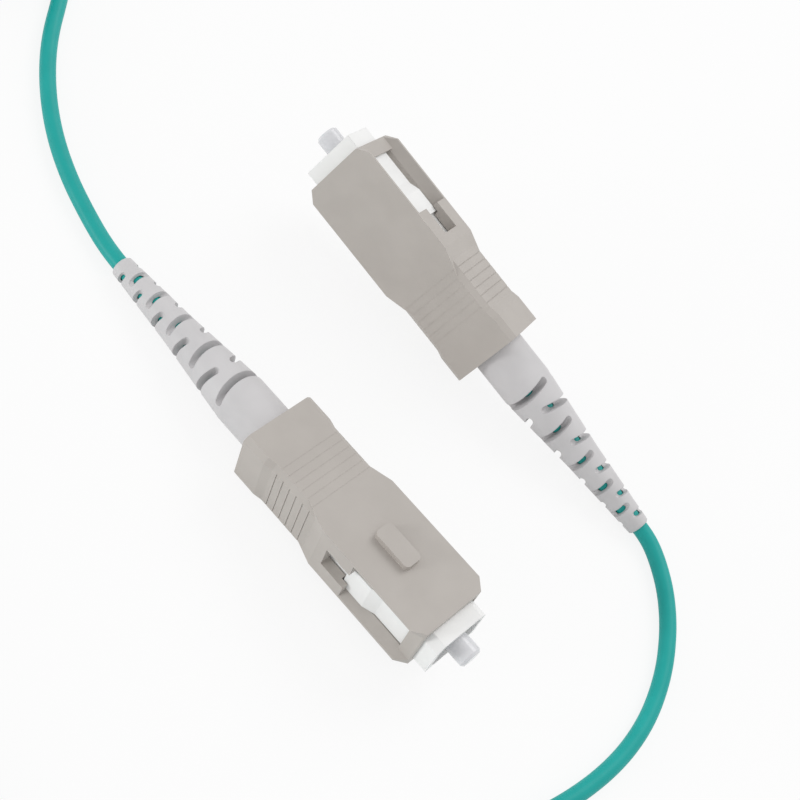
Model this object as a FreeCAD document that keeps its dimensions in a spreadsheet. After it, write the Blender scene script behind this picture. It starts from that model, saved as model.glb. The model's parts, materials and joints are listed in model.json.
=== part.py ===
import FreeCAD, Part
import math
import os

import Sketcher

# Simplex fibre patch cord: two push-pull plugs on one cable, lying on a table.
# Each plug is built about its own axis: X along the axis towards the ferrule, with zero at the grip's
# rear face, Y across, Z towards the keyed face. All sizes are millimetres and degrees.

SIZES = {
    # grip, the sliding outer housing
    "grip_length": 25.4,
    "grip_width": 9.0,
    "grip_height": 7.4,
    "grip_rear_width": 8.56,
    "grip_waist_width": 8.08,
    "grip_nose_bevel": 1.2,
    "grip_nose_inset": 0.95,
    "flare_length": 3.0,
    "flare_slope": 1.0,
    "waist_length": 6.3,
    "waist_slope": 1.5,
    "edge_bevel": 0.55,
    "rib_count": 6,
    "rib_margin": 0.6,
    "rib_pitch": 0.95,
    "rib_width": 0.12,
    "rib_depth": 0.07,
    "face_rib_depth": 0.02,
    "key_length": 4.6,
    "key_width": 2.0,
    "key_height": 0.75,
    "key_setback": 5.8,
    "key_corner": 0.5,
    "window_length": 8.0,
    "window_slot_length": 3.2,
    "window_slot_height": 3.0,
    "plate_edge": 0.3,
    "post_length": 1.65,
    "post_thickness": 0.3,
    "grip_gap": 0.1,
    "grip_travel": 2.0,
    "bore_play": 0.9,
    "stop_gap": 0.1,
    # plug frame, the white inner housing
    "frame_width": 6.5,
    "frame_height": 5.2,
    "frame_nose": 1.75,
    "frame_bevel": 0.8,
    "mouth_width": 5.6,
    "mouth_height": 4.3,
    "mouth_depth": 5.0,
    "mouth_corner": 0.65,
    "web_thickness": 1.2,
    "block_length": 2.9,
    "block_lead": 0.6,
    "block_ramp": 1.4,
    "block_rise": 0.5,
    "block_height": 4.2,
    # ferrule, its flange and its spring
    "ferrule_diameter": 2.5,
    "ferrule_length": 11.0,
    "ferrule_nose": 2.15,
    "ferrule_bevel": 0.25,
    "ferrule_gap": 0.25,
    "ferrule_relief": 0.2,
    "ferrule_travel": 1.5,
    "collar_diameter": 3.8,
    "collar_ratio": 0.75,
    "barrel_diameter": 3.2,
    "flange_floor": 0.55,
    "flange_tail_diameter": 2.2,
    "slide_gap": 0.2,
    "spring_wire": 0.45,
    "spring_diameter": 3.1,
    "spring_turns": 6,
    # stop ring, crimp and strength yarn
    "stop_depth": 4.5,
    "stop_collar_diameter": 5.1,
    "stop_collar_length": 1.4,
    "stop_tail_diameter": 3.2,
    "stop_tail_length": 5.0,
    "stop_bore": 1.3,
    "yarn_layer": 0.16,
    "yarn_setback": 0.3,
    "crimp_wall": 0.27,
    "crimp_setback": 0.3,
    "crimp_neck_length": 3.2,
    "fit_gap": 0.02,
    # cable
    "cable_diameter": 1.8,
    "jacket_wall": 0.4,
    "buffer_diameter": 0.9,
    "buffer_end_gap": 4.0,
    # boot, the slotted strain relief
    "boot_base": 5.75,
    "boot_middle": 3.8,
    "boot_tip": 2.45,
    "boot_tip_round": 0.12,
    "boot_length": 24.2,
    "boot_plain": 5.0,
    "boot_cover": 3.5,
    "boot_gap": 0.25,
    "boot_cable_gap": 0.1,
    "boot_slot_count": 10,
    "boot_slot_first": 5.95,
    "boot_slot_margin": 1.4,
    "boot_slot_crowding_ratio": 0.34,
    "boot_slot_width": 0.8,
    "boot_slot_narrowing_ratio": 0.2,
    "boot_slot_lean_ratio": 0.3,
    "boot_slot_floor_ratio": 0.77,
    # places of the two plugs on the table
    "plug_a_x": -12.622,
    "plug_a_y": -5.303,
    "plug_a_yaw": -50.0,
    "plug_a_roll": 0.0,
    "plug_b_x": 11.483,
    "plug_b_y": 6.84,
    "plug_b_yaw": 134.3,
    "plug_b_roll": 116.9,
    # coil of the spare length and its tie
    "coil_x": -49.1,
    "coil_y": 62.0,
    "coil_diameter": 21.0,
    "coil_columns": 3,
    "coil_layers": 4,
    "coil_corner": 0.8,
    "tie_width": 4.0,
    "tie_thickness": 0.3,
    "tie_angle": 270.0,
}

# Sizes and places that follow from the driving sizes.
PLACES = {
    "grip_half": "sizes.grip_width / 2",
    "grip_top": "sizes.grip_height / 2",
    "rear_half": "sizes.grip_rear_width / 2",
    "waist_half": "sizes.grip_waist_width / 2",
    "nose_half": "sizes.grip_width / 2 - sizes.grip_nose_inset",
    "nose_start": "sizes.grip_length - sizes.grip_nose_bevel",
    "flare_end": "sizes.flare_length + sizes.flare_slope",
    "waist_end": "flare_end + sizes.waist_length",
    "body_start": "waist_end + sizes.waist_slope",
    "rib_start": "flare_end + sizes.rib_margin",
    "rib_end": "rib_start + sizes.rib_width",
    "rib_floor": "waist_half - sizes.rib_depth",
    "rib_top": "waist_half + sizes.rib_depth",
    "rib_span": "sizes.rib_pitch * (sizes.rib_count - 1)",
    "face_rib_floor": "grip_top - sizes.face_rib_depth",
    "face_rib_top": "grip_top + sizes.face_rib_depth",
    "key_front": "sizes.grip_length - sizes.key_setback",
    "key_rear": "key_front - sizes.key_length",
    "key_half": "sizes.key_width / 2",
    "window_rear": "nose_start - sizes.window_length",
    "slot_rear": "window_rear - sizes.window_slot_length",
    "slot_half": "sizes.window_slot_height / 2",
    "window_edge": "grip_top - sizes.plate_edge",
    "window_depth": "post_rear - window_rear",
    "window_slope": "(window_edge - cavity_top) / (grip_half - cavity_half)",
    "post_rear": "sizes.grip_length - sizes.post_length",
    "post_outer": "cavity_half + sizes.post_thickness",
    "post_edge": "cavity_top + window_slope * sizes.post_thickness",
    "cavity_half": "sizes.frame_width / 2 + sizes.grip_gap",
    "cavity_top": "sizes.frame_height / 2 + sizes.grip_gap",
    "cavity_height": "cavity_top * 2",
    "bore_depth": "sizes.boot_cover + sizes.grip_travel + sizes.bore_play",
    "bore_radius": "sizes.boot_base / 2 + sizes.boot_gap",
    "cavity_length": "sizes.grip_length - bore_depth",
    "relief_half": "block_half + sizes.grip_gap",
    "relief_rear": "block_rear - sizes.grip_gap * 2",
    "relief_front": "window_rear + sizes.grip_gap",
    "frame_half": "sizes.frame_width / 2",
    "frame_top": "sizes.frame_height / 2",
    "frame_shoulder": "frame_half - sizes.frame_bevel",
    "frame_cheek": "frame_top - sizes.frame_bevel",
    "frame_rear": "bore_depth + sizes.stop_gap",
    "frame_front": "sizes.grip_length + sizes.frame_nose",
    "frame_length": "frame_front - frame_rear",
    "frame_bore": "sizes.collar_diameter / 2 + sizes.slide_gap",
    "mouth_half": "sizes.mouth_width / 2",
    "mouth_top": "sizes.mouth_height / 2",
    "mouth_side": "mouth_half - sizes.mouth_corner",
    "mouth_cheek": "mouth_top - sizes.mouth_corner",
    "web_front": "frame_front - sizes.mouth_depth",
    "web_rear": "web_front - sizes.web_thickness",
    "web_hole": "sizes.ferrule_diameter / 2 + sizes.ferrule_gap",
    "web_hole_depth": "sizes.mouth_depth + sizes.web_thickness",
    "frame_bore_depth": "web_rear - frame_rear",
    "block_rear": "window_rear - sizes.block_lead",
    "block_front": "block_rear + sizes.block_length",
    "ramp_front": "block_front + sizes.block_ramp",
    "block_half": "frame_half + sizes.block_rise",
    "block_root": "frame_half - sizes.block_rise",
    "ferrule_radius": "sizes.ferrule_diameter / 2",
    "ferrule_tip": "frame_front + sizes.ferrule_nose",
    "ferrule_rear": "ferrule_tip - sizes.ferrule_length",
    "ferrule_edge": "ferrule_tip - sizes.ferrule_bevel",
    "ferrule_face": "ferrule_radius - sizes.ferrule_bevel",
    "ferrule_shank": "ferrule_radius - sizes.ferrule_relief",
    "flange_bore": "ferrule_shank + sizes.fit_gap",
    "collar_radius": "sizes.collar_diameter / 2",
    "collar_rear": "web_rear - (web_rear - ferrule_rear) * sizes.collar_ratio",
    "barrel_radius": "sizes.barrel_diameter / 2",
    "barrel_rear": "ferrule_rear - sizes.flange_floor",
    "flange_tail_radius": "sizes.flange_tail_diameter / 2",
    "flange_rear": "stop_front + sizes.ferrule_travel + sizes.slide_gap",
    "buffer_radius": "sizes.buffer_diameter / 2",
    "buffer_bore": "buffer_radius + sizes.fit_gap",
    "spring_radius": "sizes.spring_diameter / 2",
    "spring_wire_radius": "sizes.spring_wire / 2",
    "spring_rear": "stop_front + spring_wire_radius + sizes.fit_gap",
    "spring_height": "barrel_rear - stop_front - sizes.spring_wire - sizes.fit_gap * 2",
    "stop_front": "frame_rear + sizes.stop_depth",
    "stop_radius": "frame_bore - sizes.fit_gap",
    "stop_hole": "sizes.stop_bore / 2",
    "stop_collar_radius": "sizes.stop_collar_diameter / 2",
    "stop_collar_rear": "frame_rear - sizes.stop_collar_length",
    "stop_tail_radius": "sizes.stop_tail_diameter / 2",
    "stop_tail_rear": "stop_collar_rear - sizes.stop_tail_length",
    "yarn_inner": "stop_tail_radius + sizes.fit_gap",
    "yarn_outer": "yarn_inner + sizes.yarn_layer",
    "yarn_front": "crimp_front - sizes.yarn_setback",
    "crimp_front": "stop_collar_rear - sizes.crimp_setback",
    "crimp_inner": "yarn_outer + sizes.fit_gap",
    "crimp_outer": "crimp_inner + sizes.crimp_wall",
    "crimp_step": "stop_tail_rear - sizes.crimp_setback",
    "crimp_shoulder": "crimp_step - sizes.crimp_wall",
    "crimp_rear": "crimp_shoulder - sizes.crimp_neck_length",
    "crimp_neck_inner": "cable_radius + sizes.fit_gap",
    "crimp_neck_outer": "crimp_neck_inner + sizes.crimp_wall",
    "cable_radius": "sizes.cable_diameter / 2",
    "jacket_bore": "cable_radius - sizes.jacket_wall",
    "buffer_rear": "boot_mouth + sizes.buffer_end_gap",
    "boot_mouth": "-sizes.boot_length",
    "boot_base_radius": "sizes.boot_base / 2",
    "boot_middle_radius": "sizes.boot_middle / 2",
    "boot_tip_radius": "sizes.boot_tip / 2",
    "boot_tip_face": "boot_tip_radius - sizes.boot_tip_round",
    "boot_tip_edge": "boot_mouth + sizes.boot_tip_round",
    "boot_taper_start": "-sizes.boot_plain",
    "boot_taper_middle": "(boot_taper_start + boot_mouth) / 2",
    "boot_bore": "crimp_outer + sizes.fit_gap",
    "boot_step": "crimp_shoulder - sizes.fit_gap",
    "boot_neck_bore": "crimp_neck_outer + sizes.fit_gap",
    "boot_neck_rear": "crimp_rear - sizes.fit_gap",
    "boot_cable_bore": "cable_radius + sizes.boot_cable_gap",
    "slot_end_radius": "sizes.boot_slot_width / 2",
    "slot_floor": "boot_cable_bore * sizes.boot_slot_floor_ratio",
    "boot_slot_span": "sizes.boot_length - sizes.boot_slot_first - sizes.boot_slot_margin",
    "plug_a_face": "(rear_half - sizes.edge_bevel) * abs(sin(sizes.plug_a_roll)) + grip_top * abs(cos(sizes.plug_a_roll))",
    "plug_a_side": "rear_half * abs(sin(sizes.plug_a_roll)) + (grip_top - sizes.edge_bevel) * abs(cos(sizes.plug_a_roll))",
    "plug_a_support": "max(plug_a_face; plug_a_side)",
    "plug_a_slope": "(plug_a_support - boot_tip_radius) / sizes.boot_length",
    "plug_a_height": "plug_a_support / sqrt(1 + plug_a_slope ^ 2)",
    "plug_b_face": "(rear_half - sizes.edge_bevel) * abs(sin(sizes.plug_b_roll)) + grip_top * abs(cos(sizes.plug_b_roll))",
    "plug_b_side": "rear_half * abs(sin(sizes.plug_b_roll)) + (grip_top - sizes.edge_bevel) * abs(cos(sizes.plug_b_roll))",
    "plug_b_support": "max(plug_b_face; plug_b_side)",
    "plug_b_slope": "(plug_b_support - boot_tip_radius) / sizes.boot_length",
    "plug_b_height": "plug_b_support / sqrt(1 + plug_b_slope ^ 2)",
    "coil_radius": "sizes.coil_diameter / 2",
    "coil_inner": "coil_radius - sizes.coil_columns * cable_radius",
    "coil_outer": "coil_radius + sizes.coil_columns * cable_radius",
    "coil_bottom": "sizes.tie_thickness + sizes.fit_gap",
    "coil_top": "coil_bottom + sizes.coil_layers * sizes.cable_diameter",
    "coil_inner_edge": "coil_inner + sizes.coil_corner",
    "coil_outer_edge": "coil_outer - sizes.coil_corner",
    "coil_bottom_edge": "coil_bottom + sizes.coil_corner",
    "coil_top_edge": "coil_top - sizes.coil_corner",
    "tie_reach": "sizes.coil_columns * cable_radius + sizes.fit_gap",
    "tie_outer": "tie_reach + sizes.tie_thickness",
    "tie_hollow": "sqrt(coil_inner ^ 2 - (sizes.tie_width / 2) ^ 2)",
    "tie_inner_reach": "coil_radius - tie_hollow + sizes.fit_gap",
    "tie_inner_outer": "tie_inner_reach + sizes.tie_thickness",
    "tie_inner_top": "coil_top + sizes.fit_gap",
    "tie_top": "tie_inner_top + sizes.tie_thickness",
}

# Route of the cable between a plug and the coil, as points of the table in X, Y and Z.
# The first point of lead A and the last of lead B are the boots' mouths and come from the plugs.
LEAD_A_POINTS = [
    (-29.6, 15.0, 1.0),
    (-31.9, 18.85, 0.9),
    (-34.3, 23.5, 0.9),
    (-36.2, 28.8, 0.9),
    (-37.35, 34.7, 0.9),
    (-37.65, 41.0, 0.9),
    (-36.8, 47.8, 0.9),
    (-36.55, 55.0, 1.0),
    (-36.88, 62.0, 1.25),
]
LEAD_B_POINTS = [
    (-61.32, 62.0, 7.4),
    (-61.36, 54.0, 6.4),
    (-60.3, 43.8, 4.0),
    (-57.3, 33.0, 1.5),
    (-53.2, 20.8, 0.9),
    (-49.0, 7.0, 0.9),
    (-45.9, -8.2, 0.9),
    (-43.9, -23.2, 0.9),
    (-41.8, -36.6, 0.9),
    (-34.2, -46.8, 0.9),
    (-22.4, -49.6, 0.9),
    (-10.6, -48.3, 0.9),
    (0.0, -45.8, 0.9),
    (9.0, -43.0, 0.9),
    (16.5, -39.9, 0.9),
    (22.5, -36.0, 0.9),
    (26.6, -31.6, 0.9),
    (29.2, -26.6, 0.9),
    (30.42, -21.85, 0.9),
    (30.7, -17.65, 0.9),
    (30.2, -14.15, 0.9),
    (29.26, -11.35, 0.95),
]
BEND_SHARE = 0.45
TINY = 1e-6

doc = FreeCAD.newDocument("patch_cord")


def fill_sheet(name, rows, lead):
    """A sheet with one named cell for each row."""
    sheet = doc.addObject("Spreadsheet::Sheet", name)
    for row, alias in enumerate(rows, start=1):
        sheet.set(f"A{row}", alias)
        sheet.set(f"B{row}", f"{lead}{rows[alias]}")
        sheet.setAlias(f"B{row}", alias)
    doc.recompute()
    return sheet


sizes = fill_sheet("sizes", SIZES, "")
places = fill_sheet("places", PLACES, "=")


def cell(name):
    """The cell's full name in a formula; a leading minus is kept."""
    sign = "-" if name.startswith("-") else ""
    alias = name.lstrip("-")
    owner = "sizes" if alias in SIZES else "places"
    return f"{sign}{owner}.{alias}"


def amount(name):
    """The number in a cell; a leading minus turns it round, and 0 is zero."""
    if name == "0":
        return 0.0
    alias = name.lstrip("-")
    sheet = sizes if alias in SIZES else places
    number = float(getattr(sheet, alias))
    return -number if name.startswith("-") else number


def new_body(label):
    body = doc.addObject("PartDesign::Body", label)
    body.Label = label
    return body


def origin_feature(body, role):
    return next(f for f in body.Origin.OriginFeatures if f.Role == role)


def new_sketch(body, role, offset=None):
    """A sketch on one of the body's own planes, moved along its normal by a formula."""
    sketch = body.newObject("Sketcher::SketchObject", f"{body.Label}_outline")
    sketch.AttachmentSupport = [(origin_feature(body, role), "")]
    sketch.MapMode = "FlatFace"
    if offset:
        sketch.setExpression("AttachmentOffset.Base.z", offset)
    return sketch


def pin_point(sketch, geometry, point, x_name, y_name):
    """Tie a point of the sketch to two cells."""
    for kind, name, axis in (("DistanceX", x_name, -2), ("DistanceY", y_name, -1)):
        if name == "0":
            sketch.addConstraint(Sketcher.Constraint("PointOnObject", geometry, point, axis))
            continue
        rule = Sketcher.Constraint(kind, -1, 1, geometry, point, amount(name))
        index = sketch.addConstraint(rule)
        sketch.setExpression(f"Constraints[{index}]", cell(name))


def polygon(sketch, corners):
    """A closed outline whose corners are pairs of cell names."""
    first = sketch.GeometryCount
    spots = [FreeCAD.Vector(amount(x), amount(y), 0) for x, y in corners]
    count = len(spots)
    for i in range(count):
        sketch.addGeometry(Part.LineSegment(spots[i], spots[(i + 1) % count]))
    for i in range(count):
        rule = Sketcher.Constraint("Coincident", first + i, 2, first + (i + 1) % count, 1)
        sketch.addConstraint(rule)
    for i, (x, y) in enumerate(corners):
        pin_point(sketch, first + i, 1, x, y)


def mirrored(corners):
    """The same outline on the other side of the sketch's X axis."""
    flip = {True: lambda name: name[1:], False: lambda name: f"-{name}"}
    return [(x, y if y == "0" else flip[y.startswith("-")](y)) for x, y in corners]


def rectangle(sketch, left, right, low, high):
    polygon(sketch, [(left, low), (right, low), (right, high), (left, high)])


def circle(sketch, radius_name, x_name="0", y_name="0"):
    centre = FreeCAD.Vector(amount(x_name), amount(y_name), 0)
    index = sketch.addGeometry(Part.Circle(centre, FreeCAD.Vector(0, 0, 1), amount(radius_name)))
    pin_point(sketch, index, 3, x_name, y_name)
    rule = sketch.addConstraint(Sketcher.Constraint("Radius", index, amount(radius_name)))
    sketch.setExpression(f"Constraints[{rule}]", cell(radius_name))


def feature(body, kind, sketch, length=None, midplane=False, reverse=False):
    """A pad or pocket of a sketch; with no length a pocket goes through all."""
    step = body.newObject(f"PartDesign::{kind}", f"{body.Label}_{kind.lower()}")
    step.Profile = sketch
    step.Midplane = midplane
    step.Reversed = reverse
    if length:
        step.Type = "Length"
        step.setExpression("Length", length)
    else:
        step.Type = "ThroughAll"
    sketch.Visibility = False
    doc.recompute()
    return step


def pad(body, sketch, length, **options):
    before = 0.0 if body.Shape.isNull() else body.Shape.Volume
    step = feature(body, "Pad", sketch, length, **options)
    if step.Shape.Volume <= before:
        raise RuntimeError(f"{step.Label} adds nothing")
    return step


def pocket(body, sketch, length=None, **options):
    before = body.Shape.Volume
    step = feature(body, "Pocket", sketch, length, **options)
    if step.Shape.Volume >= before:
        raise RuntimeError(f"{step.Label} cuts nothing")
    return step


def turned(label, corners):
    """A turned piece: an outline of axial place and radius, revolved about the plug's axis."""
    body = new_body(label)
    sketch = new_sketch(body, "XY_Plane")
    polygon(sketch, corners)
    revolution = body.newObject("PartDesign::Revolution", f"{label}_turn")
    revolution.Profile = sketch
    revolution.ReferenceAxis = (sketch, ["H_Axis"])
    revolution.Angle = 360
    doc.recompute()
    return body


def sleeve(label, rear, front, inner, outer):
    return turned(label, [(rear, inner), (front, inner), (front, outer), (rear, outer)])


def make_grip(label):
    """The beige outer housing: waisted, keyed, with a window in each narrow side."""
    body = new_body(label)
    half = [
        ("0", "rear_half"),
        ("flare_length", "rear_half"),
        ("flare_end", "waist_half"),
        ("waist_end", "waist_half"),
        ("body_start", "grip_half"),
        ("nose_start", "grip_half"),
        ("grip_length", "nose_half"),
    ]
    outline = new_sketch(body, "XY_Plane")
    polygon(outline, half + mirrored(half)[::-1])
    block = pad(body, outline, "sizes.grip_height", midplane=True)
    bevel_grip_edges(body, block)
    add_key(body)
    cavity = new_sketch(body, "YZ_Plane", "sizes.grip_length")
    rectangle(cavity, "-cavity_half", "cavity_half", "-cavity_top", "cavity_top")
    pocket(body, cavity, "places.cavity_length")
    bore = new_sketch(body, "YZ_Plane")
    circle(bore, "bore_radius")
    pocket(body, bore, "places.bore_depth", reverse=True)
    cut_windows(body)
    cut_ribs(body)
    return body


def bevel_grip_edges(body, block):
    """Bevel the long edges of the grip's rear half, from its rear face to the end of the waist."""
    limit = amount("waist_end")
    top = amount("grip_top")
    names = []
    for index, edge in enumerate(block.Shape.Edges, start=1):
        box = edge.BoundBox
        level = box.ZLength < TINY and abs(abs(box.ZMin) - top) < TINY
        along = box.XLength > TINY and box.XMax < limit + TINY
        if level and along:
            names.append(f"Edge{index}")
    bevel = body.newObject("PartDesign::Chamfer", f"{body.Label}_bevel")
    bevel.Base = (block, names)
    bevel.setExpression("Size", "sizes.edge_bevel")
    doc.recompute()


def add_key(body):
    """The key on the grip's upper wide face, with rounded upright corners."""
    outline = new_sketch(body, "XY_Plane", "places.grip_top")
    rectangle(outline, "key_rear", "key_front", "-key_half", "key_half")
    key = pad(body, outline, "sizes.key_height")
    top = amount("grip_top")
    ends = (amount("key_rear"), amount("key_front"))
    names = []
    for index, edge in enumerate(key.Shape.Edges, start=1):
        box = edge.BoundBox
        upright = box.ZLength > TINY and box.ZMin > top - TINY
        if upright and min(abs(box.XMin - end) for end in ends) < TINY:
            names.append(f"Edge{index}")
    rounding = body.newObject("PartDesign::Fillet", f"{body.Label}_key_round")
    rounding.Base = (key, names)
    rounding.setExpression("Radius", "sizes.key_corner")
    doc.recompute()


def cut_windows(body):
    """The two side windows, the slots behind them and the relief for the frame's blocks.

    A thin post stays beside the frame at each window's front, under the overhanging plates.
    """
    cut_sides(body, "cavity_half", "cavity_top", "places.post_rear", "places.window_depth")
    cut_sides(body, "post_outer", "post_edge", "sizes.grip_length", "sizes.post_length")
    slot = new_sketch(body, "XZ_Plane")
    rectangle(slot, "slot_rear", "relief_front", "-slot_half", "slot_half")
    pocket(body, slot, midplane=True)
    relief = new_sketch(body, "XY_Plane")
    rectangle(relief, "relief_rear", "relief_front", "-relief_half", "relief_half")
    pocket(body, relief, "places.cavity_height", midplane=True)


def cut_sides(body, depth, edge, front, length):
    """Open both narrow sides from a depth outwards, between plates that thin towards their edges."""
    sketch = new_sketch(body, "YZ_Plane", front)
    side = [
        (depth, f"-{edge}"),
        ("grip_half", "-window_edge"),
        ("grip_half", "window_edge"),
        (depth, edge),
    ]
    polygon(sketch, side)
    polygon(sketch, [(f"-{x}", y) for x, y in side])
    pocket(body, sketch, length)


def cut_ribs(body):
    """Fine grip lines across the waist, on the narrow sides and shallower on the wide faces."""
    sides = new_sketch(body, "XY_Plane")
    rectangle(sides, "rib_start", "rib_end", "rib_floor", "rib_top")
    rectangle(sides, "rib_start", "rib_end", "-rib_top", "-rib_floor")
    side_cut = pocket(body, sides, midplane=True)
    faces = new_sketch(body, "XZ_Plane")
    rectangle(faces, "rib_start", "rib_end", "face_rib_floor", "face_rib_top")
    rectangle(faces, "rib_start", "rib_end", "-face_rib_top", "-face_rib_floor")
    face_cut = pocket(body, faces, midplane=True)
    row = body.newObject("PartDesign::LinearPattern", f"{body.Label}_ribs")
    row.Originals = [side_cut, face_cut]
    row.Direction = (sides, ["H_Axis"])
    row.setExpression("Length", "places.rib_span")
    row.setExpression("Occurrences", "sizes.rib_count")
    body.Tip = row
    doc.recompute()


def make_frame(label):
    """The white plug frame: a bevelled box with a mouth round the ferrule and two latch blocks."""
    body = new_body(label)
    section = new_sketch(body, "YZ_Plane", "places.frame_rear")
    polygon(section, [
        ("-frame_half", "-frame_top"),
        ("frame_half", "-frame_top"),
        ("frame_half", "frame_cheek"),
        ("frame_shoulder", "frame_top"),
        ("-frame_shoulder", "frame_top"),
        ("-frame_half", "frame_cheek"),
    ])
    pad(body, section, "places.frame_length")
    blocks = new_sketch(body, "XY_Plane", "-places.frame_top")
    side = [
        ("block_rear", "block_root"),
        ("ramp_front", "block_root"),
        ("ramp_front", "frame_half"),
        ("block_front", "block_half"),
        ("block_rear", "block_half"),
    ]
    polygon(blocks, side)
    polygon(blocks, mirrored(side))
    pad(body, blocks, "sizes.block_height")
    mouth = new_sketch(body, "YZ_Plane", "places.frame_front")
    polygon(mouth, [
        ("-mouth_side", "-mouth_top"),
        ("mouth_side", "-mouth_top"),
        ("mouth_half", "-mouth_cheek"),
        ("mouth_half", "mouth_cheek"),
        ("mouth_side", "mouth_top"),
        ("-mouth_side", "mouth_top"),
        ("-mouth_half", "mouth_cheek"),
        ("-mouth_half", "-mouth_cheek"),
    ])
    pocket(body, mouth, "sizes.mouth_depth")
    hole = new_sketch(body, "YZ_Plane", "places.frame_front")
    circle(hole, "web_hole")
    pocket(body, hole, "places.web_hole_depth")
    bore = new_sketch(body, "YZ_Plane", "places.frame_rear")
    circle(bore, "frame_bore")
    pocket(body, bore, "places.frame_bore_depth", reverse=True)
    return body


def make_spring(label):
    """The compression spring between the stop ring and the ferrule's flange."""
    body = new_body(label)
    wire = new_sketch(body, "XY_Plane")
    circle(wire, "spring_wire_radius", "spring_rear", "spring_radius")
    helix = body.newObject("PartDesign::AdditiveHelix", f"{label}_coil")
    helix.Profile = wire
    helix.ReferenceAxis = (wire, ["H_Axis"])
    helix.Mode = "height-turns-angle"
    helix.setExpression("Height", "places.spring_height")
    helix.setExpression("Turns", "sizes.spring_turns")
    doc.recompute()
    return body


def make_boot(label):
    """The tapered strain relief, with pairs of slots that alternate by a quarter turn."""
    body = turned(label, [
        ("boot_cover", "boot_bore"),
        ("boot_cover", "boot_base_radius"),
        ("boot_taper_start", "boot_base_radius"),
        ("boot_taper_middle", "boot_middle_radius"),
        ("boot_tip_edge", "boot_tip_radius"),
        ("boot_mouth", "boot_tip_face"),
        ("boot_mouth", "boot_cable_bore"),
        ("boot_neck_rear", "boot_cable_bore"),
        ("boot_neck_rear", "boot_neck_bore"),
        ("boot_step", "boot_neck_bore"),
        ("boot_step", "boot_bore"),
    ])
    for level in range(int(amount("boot_slot_count"))):
        cut_boot_slots(body, level)
    return body


def cut_boot_slots(body, level):
    """A pair of slots right across the boot, one on each side; odd levels face the other way."""
    part = level / (amount("boot_slot_count") - 1)
    crowd = f"sizes.boot_slot_crowding_ratio * {part * (1 - part)}"
    place = f"(sizes.boot_slot_first + places.boot_slot_span * ({part} + {crowd}))"
    share = f"(({place} - sizes.boot_plain) / (sizes.boot_length - sizes.boot_plain) * 2)"
    wide = f"(places.boot_base_radius - places.boot_middle_radius) * min({share}; 1)"
    slim = f"(places.boot_middle_radius - places.boot_tip_radius) * max({share} - 1; 0)"
    radius = f"(places.boot_base_radius - {wide} - {slim})"
    end = f"(places.slot_end_radius * (1 - sizes.boot_slot_narrowing_ratio * {part}))"
    height = f"(places.slot_floor + {end})"
    lean = f"sizes.boot_slot_lean_ratio * ({radius} - {height})"
    outline = new_sketch(body, "XZ_Plane" if level % 2 == 0 else "XY_Plane")
    for side in (1, -1):
        leaning_slot(outline, side, f"-{place} + {lean}", height, end)
    pocket(body, outline, midplane=True)


def leaning_slot(sketch, side, middle, height, end_radius):
    """A slot with a round floor and walls that lean towards the boot's tip.

    The round floor's middle, its height and its radius are formulas; side is 1 above the axis and -1 below it.
    """
    sign = "" if side > 0 else "-"
    end = amount("slot_end_radius")
    lean = math.atan(amount("boot_slot_lean_ratio"))
    top = amount("boot_base")
    centre = FreeCAD.Vector(-amount("boot_slot_first"), side * (amount("slot_floor") + end), 0)
    along = FreeCAD.Vector(-math.sin(lean), side * math.cos(lean), 0)
    across = FreeCAD.Vector(math.cos(lean), side * math.sin(lean), 0)
    first = math.pi + lean if side > 0 else -lean
    circle = Part.Circle(centre, FreeCAD.Vector(0, 0, 1), end)
    floor = sketch.addGeometry(Part.ArcOfCircle(circle, first, first + math.pi))
    low_right, low_left = centre + across * end, centre - across * end
    high_right = low_right + along * ((side * top - low_right.y) / along.y)
    high_left = low_left + along * ((side * top - low_left.y) / along.y)
    right = sketch.addGeometry(Part.LineSegment(low_right, high_right))
    lid = sketch.addGeometry(Part.LineSegment(high_right, high_left))
    left = sketch.addGeometry(Part.LineSegment(high_left, low_left))
    sketch.addConstraint(Sketcher.Constraint("Tangent", floor, 2 if side > 0 else 1, right, 1))
    sketch.addConstraint(Sketcher.Constraint("Tangent", floor, 1 if side > 0 else 2, left, 2))
    sketch.addConstraint(Sketcher.Constraint("Coincident", right, 2, lid, 1))
    sketch.addConstraint(Sketcher.Constraint("Coincident", lid, 2, left, 1))
    sketch.addConstraint(Sketcher.Constraint("Horizontal", lid))
    sketch.addConstraint(Sketcher.Constraint("Parallel", right, left))
    angle = sketch.addConstraint(Sketcher.Constraint("Angle", right, side * (math.pi / 2 + lean)))
    sketch.setExpression(f"Constraints[{angle}]", f"{sign}(90 deg + atan(sizes.boot_slot_lean_ratio))")
    radius = sketch.addConstraint(Sketcher.Constraint("Radius", floor, end))
    sketch.setExpression(f"Constraints[{radius}]", end_radius)
    x_rule = sketch.addConstraint(Sketcher.Constraint("DistanceX", -1, 1, floor, 3, centre.x))
    sketch.setExpression(f"Constraints[{x_rule}]", middle)
    y_rule = sketch.addConstraint(Sketcher.Constraint("DistanceY", -1, 1, floor, 3, centre.y))
    sketch.setExpression(f"Constraints[{y_rule}]", f"{sign}{height}")
    top_rule = sketch.addConstraint(Sketcher.Constraint("DistanceY", -1, 1, lid, 1, side * top))
    sketch.setExpression(f"Constraints[{top_rule}]", f"{sign}sizes.boot_base")


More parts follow.
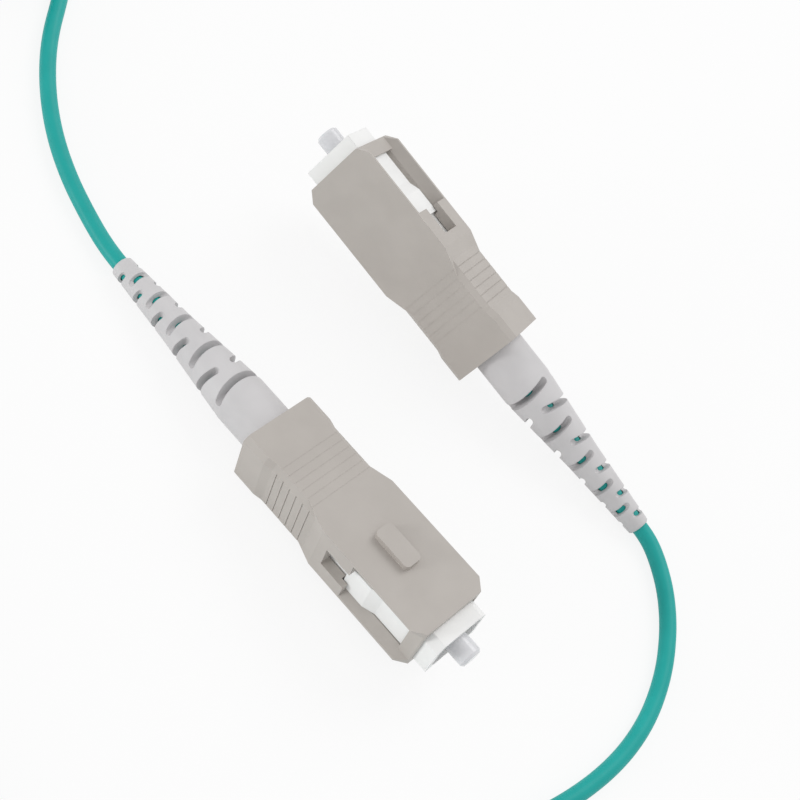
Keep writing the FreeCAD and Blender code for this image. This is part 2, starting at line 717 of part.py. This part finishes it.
def make_plug(side):
    """All the pieces of one plug, in place on the table."""
    pieces = [
        make_grip(f"grip_{side}"),
        make_frame(f"plug_frame_{side}"),
        turned(f"ferrule_{side}", [
            ("ferrule_rear", "0"),
            ("ferrule_tip", "0"),
            ("ferrule_tip", "ferrule_face"),
            ("ferrule_edge", "ferrule_radius"),
            ("web_front", "ferrule_radius"),
            ("web_front", "ferrule_shank"),
            ("ferrule_rear", "ferrule_shank"),
        ]),
        turned(f"ferrule_flange_{side}", [
            ("flange_rear", "buffer_bore"),
            ("ferrule_rear", "buffer_bore"),
            ("ferrule_rear", "flange_bore"),
            ("web_rear", "flange_bore"),
            ("web_rear", "collar_radius"),
            ("collar_rear", "collar_radius"),
            ("collar_rear", "barrel_radius"),
            ("barrel_rear", "barrel_radius"),
            ("barrel_rear", "flange_tail_radius"),
            ("flange_rear", "flange_tail_radius"),
        ]),
        make_spring(f"ferrule_spring_{side}"),
        turned(f"stop_ring_{side}", [
            ("stop_tail_rear", "stop_hole"),
            ("stop_front", "stop_hole"),
            ("stop_front", "stop_radius"),
            ("frame_rear", "stop_radius"),
            ("frame_rear", "stop_collar_radius"),
            ("stop_collar_rear", "stop_collar_radius"),
            ("stop_collar_rear", "stop_tail_radius"),
            ("stop_tail_rear", "stop_tail_radius"),
        ]),
        sleeve(f"strength_yarn_{side}", "stop_tail_rear", "yarn_front", "yarn_inner", "yarn_outer"),
        turned(f"crimp_sleeve_{side}", [
            ("crimp_rear", "crimp_neck_inner"),
            ("crimp_step", "crimp_neck_inner"),
            ("crimp_step", "crimp_inner"),
            ("crimp_front", "crimp_inner"),
            ("crimp_front", "crimp_outer"),
            ("crimp_shoulder", "crimp_outer"),
            ("crimp_shoulder", "crimp_neck_outer"),
            ("crimp_rear", "crimp_neck_outer"),
        ]),
        make_boot(f"boot_{side}"),
        sleeve(f"jacket_end_{side}", "boot_mouth", "crimp_step", "jacket_bore", "cable_radius"),
        turned(f"buffered_fibre_{side}", [
            ("buffer_rear", "0"),
            ("ferrule_rear", "0"),
            ("ferrule_rear", "buffer_radius"),
            ("buffer_rear", "buffer_radius"),
        ]),
    ]
    spot = plug_placement(side)
    for body in pieces:
        body.Placement = spot
    return pieces


def plug_placement(side):
    """A plug rests nose up on its grip's rear edge and its boot's tip, turned and rolled about its axis."""
    base = FreeCAD.Vector(*(amount(f"plug_{side}_{name}") for name in ("x", "y", "height")))
    rise = math.degrees(math.atan(amount(f"plug_{side}_slope")))
    turn = FreeCAD.Rotation(amount(f"plug_{side}_yaw"), -rise, amount(f"plug_{side}_roll"))
    return FreeCAD.Placement(base, turn)


def along_plug(side, distance):
    """A point on a plug's axis, at an axial distance from the grip's rear face."""
    return plug_placement(side).multVec(FreeCAD.Vector(distance, 0, 0))


def rounded_path(points):
    """Straight runs joined by tangent arcs, each as large as its two runs allow."""
    edges = []
    radii = []
    start = points[0]
    for before, corner, after in zip(points, points[1:], points[2:]):
        back = (before - corner).normalize()
        ahead = (after - corner).normalize()
        turn = math.pi - back.getAngle(ahead)
        cut = BEND_SHARE * min((before - corner).Length, (after - corner).Length)
        radius = cut / math.tan(turn / 2)
        inward = (back + ahead).normalize()
        middle = corner + inward * (math.hypot(radius, cut) - radius)
        first = corner + back * cut
        last = corner + ahead * cut
        edges.append(Part.LineSegment(start, first).toShape())
        edges.append(Part.Arc(first, middle, last).toShape())
        radii.append(round(radius, 1))
        start = last
    edges.append(Part.LineSegment(start, points[-1]).toShape())
    return Part.Wire(edges), radii


def make_lead(label, points):
    """A round tube of the cable's outside along a route."""
    path, radii = rounded_path([FreeCAD.Vector(*point) for point in points])
    first = path.Edges[0]
    ring = Part.Circle(first.valueAt(first.FirstParameter), first.tangentAt(first.FirstParameter),
                       amount("cable_radius"))
    tube = path.makePipeShell([Part.Wire(ring.toShape())], True, False)
    if tube.Volume < 0:
        tube.reverse()
    due = math.pi * amount("cable_radius") ** 2 * path.Length
    print(label, "bend radii", radii, "length", round(path.Length, 1),
          "volume share", round(tube.Volume / due, 4))
    lead = doc.addObject("Part::Feature", label)
    lead.Label = label
    lead.Shape = tube
    lead.Placement = FreeCAD.Placement()
    return lead


def make_coil(label):
    """The outer shape of the neat round coil that holds the spare length."""
    body = new_body(label)
    section = new_sketch(body, "XZ_Plane")
    polygon(section, [
        ("coil_inner_edge", "coil_bottom"),
        ("coil_outer_edge", "coil_bottom"),
        ("coil_outer", "coil_bottom_edge"),
        ("coil_outer", "coil_top_edge"),
        ("coil_outer_edge", "coil_top"),
        ("coil_inner_edge", "coil_top"),
        ("coil_inner", "coil_top_edge"),
        ("coil_inner", "coil_bottom_edge"),
    ])
    ring = body.newObject("PartDesign::Revolution", f"{label}_ring")
    ring.Profile = section
    ring.ReferenceAxis = (section, ["V_Axis"])
    ring.Angle = 360
    doc.recompute()
    body.Placement = FreeCAD.Placement(coil_centre(), FreeCAD.Rotation())
    return body


def coil_centre():
    return FreeCAD.Vector(amount("coil_x"), amount("coil_y"), 0)


def make_tie(label):
    """The strap round the coil's bundle of turns."""
    body = new_body(label)
    band = new_sketch(body, "XZ_Plane")
    rectangle(band, "-tie_inner_outer", "tie_outer", "0", "tie_top")
    rectangle(band, "-tie_inner_reach", "tie_reach", "tie_thickness", "tie_inner_top")
    pad(body, band, "sizes.tie_width", midplane=True)
    turn = FreeCAD.Rotation(amount("tie_angle"), 0, 0)
    out = turn.multVec(FreeCAD.Vector(amount("coil_radius"), 0, 0))
    body.Placement = FreeCAD.Placement(coil_centre() + out, turn)
    return body


def make_cable():
    """The cable between the two boots: two leads and the coil with its tie."""
    mouth_a = along_plug("a", amount("boot_mouth"))
    mouth_b = along_plug("b", amount("boot_mouth"))
    return [
        make_lead("cable_lead_a", [mouth_a] + LEAD_A_POINTS),
        make_coil("cable_coil"),
        make_lead("cable_lead_b", LEAD_B_POINTS + [mouth_b]),
        make_tie("coil_tie"),
    ]


def check_document(pieces):
    for item in doc.Objects:
        if "Invalid" in item.State or "Error" in item.State:
            raise RuntimeError(f"{item.Label} failed: {item.State}")
    for piece in pieces:
        if piece.Shape.isNull() or not piece.Shape.isValid() or not piece.Shape.Solids:
            raise RuntimeError(f"{piece.Label} has no valid solid")


pieces = make_plug("a") + make_plug("b") + make_cable()
doc.recompute()
check_document(pieces)
os.makedirs("parts", exist_ok=True)
for piece in pieces:
    piece.Shape.exportStep(f"parts/{piece.Label}.step")
print(len(pieces), "pieces written")
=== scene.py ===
import json
import math

import bmesh
import bpy
from mathutils import Color, Matrix, Vector


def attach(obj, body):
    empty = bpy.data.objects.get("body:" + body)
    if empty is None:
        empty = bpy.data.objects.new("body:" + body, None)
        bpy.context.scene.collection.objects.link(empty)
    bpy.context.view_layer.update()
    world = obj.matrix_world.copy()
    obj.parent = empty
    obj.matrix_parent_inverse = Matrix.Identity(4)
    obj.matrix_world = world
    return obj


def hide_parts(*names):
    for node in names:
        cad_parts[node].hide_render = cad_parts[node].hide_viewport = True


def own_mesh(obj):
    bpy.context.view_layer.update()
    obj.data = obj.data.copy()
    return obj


# A simplex fibre patch cord on white paper, seen from above.
# Lengths are in millimetres, unless a comment says metres. Blender gets metres.

MM = 0.001

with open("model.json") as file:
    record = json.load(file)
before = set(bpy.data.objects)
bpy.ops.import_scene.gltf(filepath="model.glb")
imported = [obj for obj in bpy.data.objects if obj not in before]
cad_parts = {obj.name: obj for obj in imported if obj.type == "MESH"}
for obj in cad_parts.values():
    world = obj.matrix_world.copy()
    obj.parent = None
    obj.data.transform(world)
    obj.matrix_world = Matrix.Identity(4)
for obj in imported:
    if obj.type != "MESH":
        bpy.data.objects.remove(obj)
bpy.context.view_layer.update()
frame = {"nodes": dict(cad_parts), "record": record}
nodes = frame["nodes"]
scene = bpy.context.scene
scene.view_settings.view_transform = "Standard"


def metres(points):
    return [Vector(point) * MM for point in points]


# Camera

CAMERA_PLACE = (-40.779, -63.907, 126.175)
CAMERA_RIGHT = (0.9509, -0.0278, 0.3083)
CAMERA_UP = (-0.1134, 0.8956, 0.4303)
CAMERA_AHEAD = (0.2881, 0.4441, -0.8484)
LENS = 63.0
SENSOR = 36.0
CLIP_NEAR = 10.0
CLIP_FAR = 10000.0


def make_camera():
    data = bpy.data.cameras.new("camera")
    data.lens = LENS
    data.sensor_width = SENSOR
    data.clip_start = CLIP_NEAR * MM
    data.clip_end = CLIP_FAR * MM
    camera = bpy.data.objects.new("camera", data)
    scene.collection.objects.link(camera)
    turn = Matrix((CAMERA_RIGHT, CAMERA_UP, -Vector(CAMERA_AHEAD))).transposed().to_4x4()
    camera.matrix_world = Matrix.Translation(Vector(CAMERA_PLACE) * MM) @ turn
    scene.camera = camera


make_camera()


# Cord

CABLE_DIAMETER = 1.8
CORD_STEPS = 8
CORD_ROUND_STEPS = 8
MOUTH_A = (-28.097, 13.139, 1.219)
MOUTH_B = (28.156, -10.246, 1.208)
LEAD_A = [
    (-29.6, 15.0, 1.0),
    (-31.9, 18.85, 0.9),
    (-34.3, 23.5, 0.9),
    (-36.2, 28.8, 0.9),
    (-37.35, 34.7, 0.9),
    (-37.65, 41.0, 0.9),
    (-36.8, 47.8, 0.9),
    (-36.55, 55.0, 1.0),
]
LEAD_B = [
    (-61.36, 54.0, 6.4),
    (-60.3, 43.8, 4.0),
    (-57.3, 33.0, 1.5),
    (-53.2, 20.8, 0.9),
    (-49.0, 7.0, 0.9),
    (-45.9, -8.2, 0.9),
    (-43.9, -23.2, 0.9),
    (-41.8, -36.6, 0.9),
    (-34.2, -46.8, 0.9),
    (-22.4, -49.6, 0.9),
    (-10.6, -48.3, 0.9),
    (0.0, -45.8, 0.9),
    (9.0, -43.0, 0.9),
    (16.5, -39.9, 0.9),
    (22.5, -36.0, 0.9),
    (26.6, -31.6, 0.9),
    (29.2, -26.6, 0.9),
    (30.42, -21.85, 0.9),
    (30.7, -17.65, 0.9),
    (30.2, -14.15, 0.9),
    (29.26, -11.35, 0.95),
]
COIL_CENTRE = (-49.1, 62.0)
COIL_STEPS = 16
# The spline's radius as a share of its points' radius, since it runs inside them.
COIL_PULL = 0.981
# The coil by the count of turns: three layers, then out over the top.
COIL_HEIGHTS = [
    (0, 1.22),
    (3, 6.62),
    (6, 1.22),
    (9, 6.62),
    (9.125, 7.9),
    (9.25, 8.3),
    (9.375, 8.0),
    (9.5, 7.5),
]
COIL_RADII = [
    (0, 12.3),
    (2.875, 12.3),
    (3.125, 10.5),
    (5.875, 10.5),
    (6.125, 8.7),
    (9, 8.7),
    (9.5, 12.3),
]


def between(table, key):
    """The value at a key in a table of rising keys, in straight lines between them."""
    for (low, first), (high, last) in zip(table, table[1:]):
        if low <= key <= high:
            return first + (last - first) * (key - low) / (high - low)
    raise ValueError(f"{key} is outside the table")


def coil_points():
    points = []
    for step in range(int(COIL_HEIGHTS[-1][0] * COIL_STEPS) + 1):
        turns = step / COIL_STEPS
        angle = math.tau * turns
        radius = between(COIL_RADII, turns) / COIL_PULL
        across = COIL_CENTRE[0] + radius * math.cos(angle)
        along = COIL_CENTRE[1] + radius * math.sin(angle)
        points.append((across, along, between(COIL_HEIGHTS, turns)))
    return points


def make_cord():
    """The cable as one line from boot to boot, with the spare length in the coil."""
    curve = bpy.data.curves.new("cable", "CURVE")
    curve.dimensions = "3D"
    curve.resolution_u = CORD_STEPS
    curve.bevel_depth = 1.0  # each point has its own radius
    curve.bevel_resolution = CORD_ROUND_STEPS
    curve.use_fill_caps = True
    spline = curve.splines.new("NURBS")
    route = metres([MOUTH_A] + LEAD_A + coil_points() + LEAD_B + [MOUTH_B])
    spline.points.add(len(route) - 1)
    for point, place in zip(spline.points, route):
        point.co = (*place, 1.0)
        point.radius = CABLE_DIAMETER / 2 * MM
    spline.order_u = 3
    spline.use_endpoint_u = True
    spline.use_smooth = True
    cord = bpy.data.objects.new("cable", curve)
    scene.collection.objects.link(cord)
    return cord


cable = make_cord()


# Strap round the coil

STRAP_WIDTH = 4.0
STRAP_THICKNESS = 0.3
STRAP_EDGE = 0.09
STRAP_SMOOTH_ANGLE = 50
# Its loop across the coil, as distances from the coil's middle and heights.
STRAP_INNER = 7.37
STRAP_OUTER = 13.37
STRAP_BOTTOM = 0.16
STRAP_TOP = 7.7
STRAP_CORNER = 0.95
STRAP_CORNER_STEPS = 6
# Heights over the lower corners: of the buried end, and of where the strap starts to lie on itself.
STRAP_START = 1.0
STRAP_LAP_START = 1.6
# From one layer's middle to the next, in thicknesses.
STRAP_LAP_RATIO = 1.06
STRAP_TAIL = 2.6
STRAP_TAIL_GAP = 0.2
STRAP_TAIL_STEPS = 6
# The free end's width as a share of the strap's, and how late it narrows.
STRAP_END_RATIO = 0.45
STRAP_END_POWER = 4


def strap_corner(middle, radius, first):
    """Points and outward directions of a quarter turn; first is its starting angle in degrees."""
    corner = []
    for step in range(STRAP_CORNER_STEPS + 1):
        angle = math.radians(first + 90 * step / STRAP_CORNER_STEPS)
        out = Vector((math.cos(angle), math.sin(angle)))
        corner.append((Vector(middle) + out * radius, out))
    return corner


def strap_line():
    """The strap's middle line from its buried end, once round, and over itself to its free end."""
    left, right = STRAP_INNER + STRAP_CORNER, STRAP_OUTER - STRAP_CORNER
    low, high = STRAP_BOTTOM + STRAP_CORNER, STRAP_TOP - STRAP_CORNER
    line = [(Vector((STRAP_OUTER, low + STRAP_START)), Vector((1, 0)))]
    line += strap_corner((right, high), STRAP_CORNER, 0)
    line += strap_corner((left, high), STRAP_CORNER, 90)
    line += strap_corner((left, low), STRAP_CORNER, 180)
    line += strap_corner((right, low), STRAP_CORNER, 270)
    outside = STRAP_THICKNESS * STRAP_LAP_RATIO
    line.append((Vector((STRAP_OUTER + outside, low + STRAP_LAP_START)), Vector((1, 0))))
    line += strap_corner((right, high), STRAP_CORNER + outside, 0)
    for step in range(STRAP_TAIL_STEPS + 1):
        reach = right - STRAP_TAIL * step / STRAP_TAIL_STEPS - STRAP_TAIL_GAP
        line.append((Vector((reach, STRAP_TOP + outside)), Vector((0, 1))))
    return line


def strap_section(wide):
    """The strap's outline across its length, with its edges cut off; wide is half its width."""
    half = STRAP_THICKNESS / 2
    side, thin = wide - STRAP_EDGE, half - STRAP_EDGE
    return [
        (-side, -half),
        (side, -half),
        (wide, -thin),
        (wide, thin),
        (side, half),
        (-side, half),
        (-wide, thin),
        (-wide, -thin),
    ]


def make_strap():
    """A hook-and-loop strap with soft edges and a round free end."""
    build = bmesh.new()
    line = strap_line()
    tail_start = len(line) - 1 - STRAP_TAIL_STEPS
    rings = []
    for place, (point, out) in enumerate(line):
        tail = max(0, place - tail_start) / STRAP_TAIL_STEPS
        fullness = math.sqrt(1 - tail ** STRAP_END_POWER)
        wide = STRAP_WIDTH / 2 * (STRAP_END_RATIO + (1 - STRAP_END_RATIO) * fullness)
        ring = []
        for across, rise in strap_section(wide):
            spot = point + out * rise
            corner = Vector((COIL_CENTRE[0] + across, COIL_CENTRE[1] - spot.x, spot.y))
            ring.append(build.verts.new(corner * MM))
        rings.append(ring)
    for first, second in zip(rings, rings[1:]):
        for corner in range(len(first)):
            after = (corner + 1) % len(first)
            build.faces.new((first[corner], first[after], second[after], second[corner]))
    build.faces.new(rings[0])
    build.faces.new(list(reversed(rings[-1])))
    bmesh.ops.recalc_face_normals(build, faces=build.faces)
    for face in build.faces:
        face.smooth = True
    mesh = bpy.data.meshes.new("coil_strap")
    build.to_mesh(mesh)
    build.free()
    mesh.set_sharp_from_angle(angle=math.radians(STRAP_SMOOTH_ANGLE))
    band = bpy.data.objects.new("coil_strap", mesh)
    scene.collection.objects.link(band)
    return band


strap = make_strap()
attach(strap, "cord")
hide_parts("coil_tie")
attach(cable, "cord")
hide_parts("cable_lead_a", "cable_lead_b", "cable_coil")


# Springs behind the ferrules


def make_spring(side):
    """A copy of the CAD spring with its own mesh, which takes the rigid one's place."""
    rigid = nodes[f"ferrule_spring_{side}"]
    spring = bpy.data.objects.new(f"spring_coil_{side}", rigid.data.copy())
    spring.matrix_world = rigid.matrix_world
    scene.collection.objects.link(spring)
    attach(spring, "cord")
    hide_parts(rigid.name)
    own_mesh(spring)
    return spring


springs = [make_spring(side) for side in "ab"]


# Materials

# Grain sizes, in features for each metre.
MOTTLE_SCALE = 300.0
GLOSS_SCALE = 900.0
LOOP_SCALE = 2800.0
LOOP_GLOSS_SCALE = 1500.0
# The part of a grain's range in which one shade turns into the other.
SHADE_LOW = 0.35
SHADE_HIGH = 0.65
EDGE_SAMPLES = 6
LOOP_ROUGH = (0.8, 0.95)
LOOP_DEPTH = 0.12
LOOP_STRENGTH = 0.8
LOOP_SHEEN = 0.3

# Shades as display colours from 0 to 255, the span of roughness, and what moulded() takes besides.
FINISHES = {
    "grip_plastic": {
        "dark": (182, 176, 170),
        "light": (186, 180, 174),
        "rough": (0.42, 0.52),
    },
    "frame_plastic": {
        "dark": (243, 243, 242),
        "light": (247, 247, 246),
        "rough": (0.35, 0.45),
        "edge": 0.08,
    },
    "ferrule_ceramic": {
        "dark": (220, 220, 223),
        "light": (226, 226, 229),
        "rough": (0.16, 0.24),
        "grain": 2500.0,
        "depth": 0.004,
        "edge": 0.08,
    },
    "flange_metal": {
        "dark": (196, 192, 184),
        "light": (206, 202, 195),
        "rough": (0.25, 0.35),
        "metallic": 1.0,
    },
    "spring_steel": {
        "dark": (176, 176, 178),
        "light": (190, 190, 192),
        "rough": (0.22, 0.32),
        "metallic": 1.0,
    },
    "stop_ring_metal": {
        "dark": (186, 182, 172),
        "light": (198, 194, 184),
        "rough": (0.3, 0.4),
        "metallic": 1.0,
    },
    "crimp_metal": {
        "dark": (190, 188, 184),
        "light": (204, 202, 198),
        "rough": (0.28, 0.4),
        "metallic": 1.0,
    },
    "yarn": {
        "dark": (214, 186, 96),
        "light": (226, 202, 120),
        "rough": (0.6, 0.8),
        "grain": 3000.0,
        "depth": 0.03,
        "strength": 0.5,
    },
    "boot_rubber": {
        "dark": (205, 203, 204),
        "light": (210, 208, 209),
        "rough": (0.5, 0.6),
        "edge": 0.1,
    },
    "cable_jacket": {
        "dark": (22, 164, 158),
        "light": (28, 169, 163),
        "rough": (0.42, 0.5),
        "grain": 3500.0,
        "depth": 0.012,
        "specular": 0.3,
    },
    "fibre_buffer": {
        "dark": (226, 226, 222),
        "light": (236, 236, 232),
        "rough": (0.4, 0.5),
    },
}
LOOP_DARK = (26, 26, 29)
LOOP_LIGHT = (58, 58, 62)


def linear(shade):
    """A display colour as the linear colour that a shader takes."""
    return (*Color([value / 255 for value in shade]).from_srgb_to_scene_linear(), 1.0)


def new_material(name):
    material = bpy.data.materials.new(name)
    material.use_nodes = True
    return material, material.node_tree, material.node_tree.nodes["Principled BSDF"]


def noise(tree, scale):
    """Grain in the part's own frame."""
    place = tree.nodes.new("ShaderNodeTexCoord")
    grain = tree.nodes.new("ShaderNodeTexNoise")
    grain.inputs["Scale"].default_value = scale
    tree.links.new(place.outputs["Object"], grain.inputs["Vector"])
    return grain.outputs["Fac"]


def shades(tree, factor, dark, light):
    """Two close shades, blended by a grain."""
    ramp = tree.nodes.new("ShaderNodeValToRGB")
    low, high = ramp.color_ramp.elements
    low.position, high.position = SHADE_LOW, SHADE_HIGH
    low.color, high.color = linear(dark), linear(light)
    tree.links.new(factor, ramp.inputs["Fac"])
    return ramp.outputs["Color"]


def spread(tree, factor, low, high):
    """A grain spread between two values."""
    span = tree.nodes.new("ShaderNodeMapRange")
    span.inputs["To Min"].default_value = low
    span.inputs["To Max"].default_value = high
    tree.links.new(factor, span.inputs["Value"])
    return span.outputs["Result"]


def relief(tree, factor, depth, strength, edge=0.0):
    """Grain in the surface; edge is the radius that the piece's edges look rounded by."""
    bump = tree.nodes.new("ShaderNodeBump")
    bump.inputs["Distance"].default_value = depth * MM
    bump.inputs["Strength"].default_value = strength
    tree.links.new(factor, bump.inputs["Height"])
    if edge:
        soft = tree.nodes.new("ShaderNodeBevel")
        soft.samples = EDGE_SAMPLES
        soft.inputs["Radius"].default_value = edge * MM
        tree.links.new(soft.outputs["Normal"], bump.inputs["Normal"])
    return bump.outputs["Normal"]


def moulded(
    name,
    dark,
    light,
    rough,
    grain=4000.0,
    depth=0.01,
    strength=0.2,
    edge=0.0,
    metallic=0.0,
    specular=0.5,
):
    """A plain finish: two close shades, a varied gloss and a fine grain."""
    material, tree, shader = new_material(name)
    colour = shades(tree, noise(tree, MOTTLE_SCALE), dark, light)
    tree.links.new(colour, shader.inputs["Base Color"])
    gloss = spread(tree, noise(tree, GLOSS_SCALE), *rough)
    tree.links.new(gloss, shader.inputs["Roughness"])
    surface = relief(tree, noise(tree, grain), depth, strength, edge)
    tree.links.new(surface, shader.inputs["Normal"])
    shader.inputs["Metallic"].default_value = metallic
    shader.inputs["Specular IOR Level"].default_value = specular
    return material


def looped(name, dark, light):
    """Hook-and-loop fabric: small dark loops."""
    material, tree, shader = new_material(name)
    place = tree.nodes.new("ShaderNodeTexCoord")
    loops = tree.nodes.new("ShaderNodeTexVoronoi")
    loops.inputs["Scale"].default_value = LOOP_SCALE
    tree.links.new(place.outputs["Object"], loops.inputs["Vector"])
    height = spread(tree, loops.outputs["Distance"], 1.0, 0.0)
    tree.links.new(shades(tree, height, dark, light), shader.inputs["Base Color"])
    gloss = spread(tree, noise(tree, LOOP_GLOSS_SCALE), *LOOP_ROUGH)
    tree.links.new(gloss, shader.inputs["Roughness"])
    surface = relief(tree, height, LOOP_DEPTH, LOOP_STRENGTH)
    tree.links.new(surface, shader.inputs["Normal"])
    shader.inputs["Sheen Weight"].default_value = LOOP_SHEEN
    return material


materials = {name: moulded(name, **finish) for name, finish in FINISHES.items()}
materials["tie_fabric"] = looped("tie_fabric", LOOP_DARK, LOOP_LIGHT)


def dress(piece, slot):
    piece.data.materials.clear()
    piece.data.materials.append(materials[slot])


for subpart in frame["record"]["subparts"]:
    dress(nodes[subpart["node"]], subpart["material_slot"])
dress(cable, "cable_jacket")
dress(strap, "tie_fabric")
for spring in springs:
    dress(spring, "spring_steel")


# Floor and light, in metres and watts

WHITE = (1.0, 1.0, 1.0, 1.0)
PAPER = (0.92, 0.92, 0.92, 1.0)
FLOOR_HALF = 2.0
FLOOR_DROP = 0.00002
# The share of plain white in what the camera sees of the floor.
FLOOR_WHITE = 0.86
WORLD_LIGHT = 0.68
BACKDROP_WHITE = 0.95
# Name, place, width and power of each lamp. They point at the origin.
LAMPS = [
    ("key", (0.5, 0.45, 0.7), 0.6, 2.9),
    ("fill", (-0.9, -0.15, 0.16), 0.3, 2.4),
]


def seen(tree):
    """1 for what the camera sees, also in a reflection or through something clear, else 0."""
    path = tree.nodes.new("ShaderNodeLightPath")
    factor = path.outputs["Is Camera Ray"]
    for kind in ("Is Glossy Ray", "Is Transmission Ray"):
        either = tree.nodes.new("ShaderNodeMath")
        either.operation = "MAXIMUM"
        tree.links.new(factor, either.inputs[0])
        tree.links.new(path.outputs[kind], either.inputs[1])
        factor = either.outputs["Value"]
    return factor


def paper():
    """The camera sees mostly plain white, and the rest keeps the object's shadow."""
    material, tree, _ = new_material("floor")
    tree.nodes.clear()
    sheet = tree.nodes.new("ShaderNodeBsdfDiffuse")
    sheet.inputs["Color"].default_value = PAPER
    glow = tree.nodes.new("ShaderNodeEmission")
    glow.inputs["Color"].default_value = WHITE
    glow.inputs["Strength"].default_value = 1.0
    blend = tree.nodes.new("ShaderNodeMixShader")
    out = tree.nodes.new("ShaderNodeOutputMaterial")
    tree.links.new(spread(tree, seen(tree), 0.0, FLOOR_WHITE), blend.inputs["Fac"])
    tree.links.new(sheet.outputs["BSDF"], blend.inputs[1])
    tree.links.new(glow.outputs["Emission"], blend.inputs[2])
    tree.links.new(blend.outputs["Shader"], out.inputs["Surface"])
    return material


def make_floor():
    mesh = bpy.data.meshes.new("floor")
    plane = bmesh.new()
    bmesh.ops.create_grid(plane, x_segments=1, y_segments=1, size=FLOOR_HALF)
    plane.to_mesh(mesh)
    plane.free()
    mesh.materials.append(paper())
    floor = bpy.data.objects.new("floor", mesh)
    floor.location.z = -FLOOR_DROP
    scene.collection.objects.link(floor)


def make_lamp(name, place, width, power):
    data = bpy.data.lights.new(name, "AREA")
    data.shape = "DISK"
    data.size = width
    data.energy = power
    lamp = bpy.data.objects.new(name, data)
    lamp.location = place
    lamp.visible_camera = False
    lamp.rotation_mode = "QUATERNION"
    lamp.rotation_quaternion = (-Vector(place)).to_track_quat("-Z", "Y")
    scene.collection.objects.link(lamp)


def make_world():
    """Even light from all round. Past the floor, the camera sees the far floor's white."""
    world = bpy.data.worlds.new("studio")
    world.use_nodes = True
    tree = world.node_tree
    light = tree.nodes["Background"]
    light.inputs["Color"].default_value = WHITE
    light.inputs["Strength"].default_value = WORLD_LIGHT
    backdrop = tree.nodes.new("ShaderNodeBackground")
    backdrop.inputs["Color"].default_value = WHITE
    backdrop.inputs["Strength"].default_value = BACKDROP_WHITE
    blend = tree.nodes.new("ShaderNodeMixShader")
    tree.links.new(seen(tree), blend.inputs["Fac"])
    tree.links.new(light.outputs["Background"], blend.inputs[1])
    tree.links.new(backdrop.outputs["Background"], blend.inputs[2])
    tree.links.new(blend.outputs["Shader"], tree.nodes["World Output"].inputs["Surface"])
    scene.world = world


make_floor()
for lamp in LAMPS:
    make_lamp(*lamp)
make_world()
